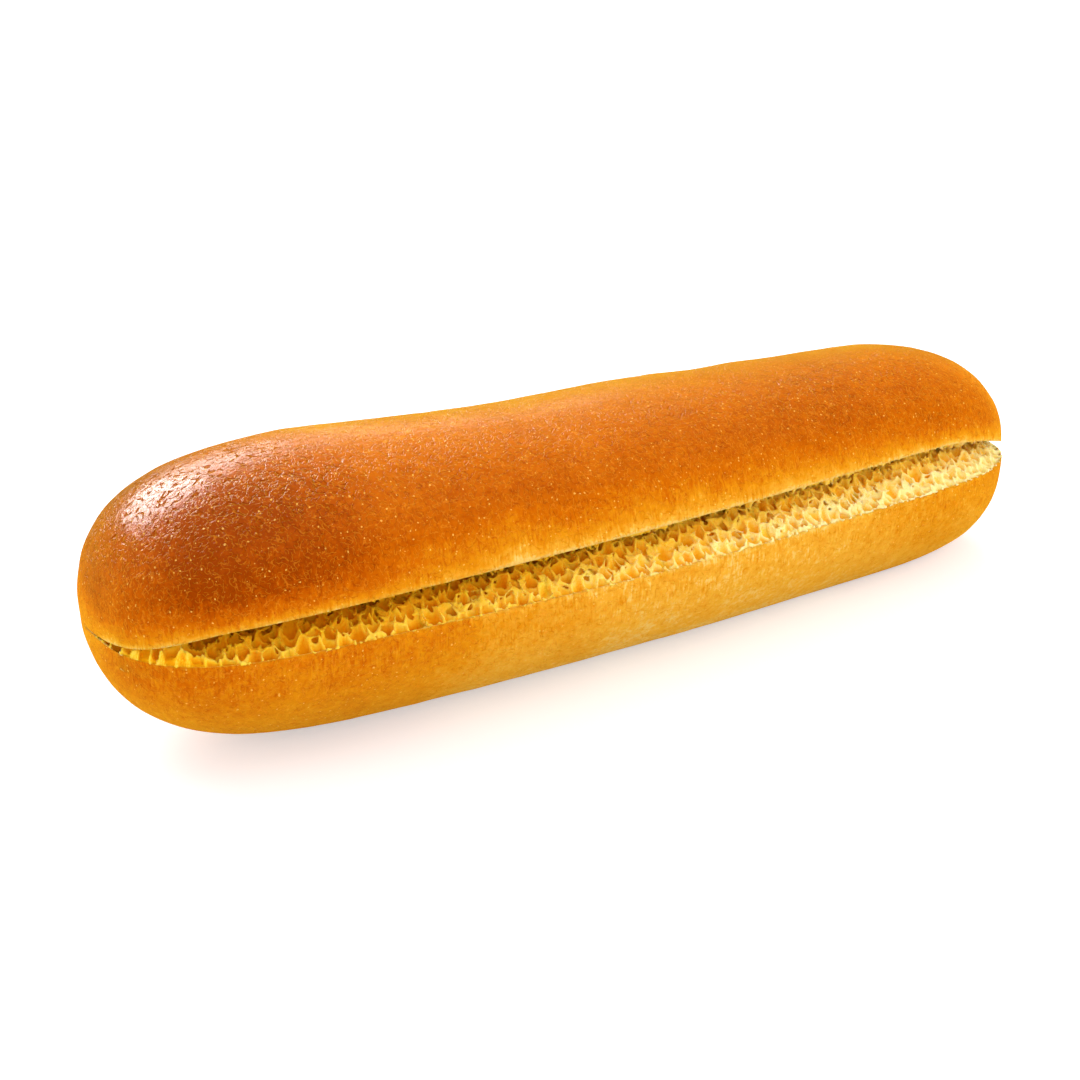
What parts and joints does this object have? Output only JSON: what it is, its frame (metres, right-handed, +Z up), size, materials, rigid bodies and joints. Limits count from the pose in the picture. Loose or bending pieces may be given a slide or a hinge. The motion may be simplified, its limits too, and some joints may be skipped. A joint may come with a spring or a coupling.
{
  "type": "brioche hot dog roll",
  "caption": "Soft enriched bread roll with a shiny domed crust and a flat base, split along one long side and both ends, and joined along its back.",
  "frame": {"origin": "on the flat base, under the middle of the roll", "axes": "+X along the roll, +Z up, the cut opens towards -Y"},
  "size_m": [0.16, 0.049, 0.0433],
  "materials": {
    "crust": "satin glazed brown crust, paler and matte towards the base and the cut",
    "crumb": "open soft yellow crumb"
  },
  "bodies": {
    "root": {"roll": "crust"}
  },
  "joints": []
}
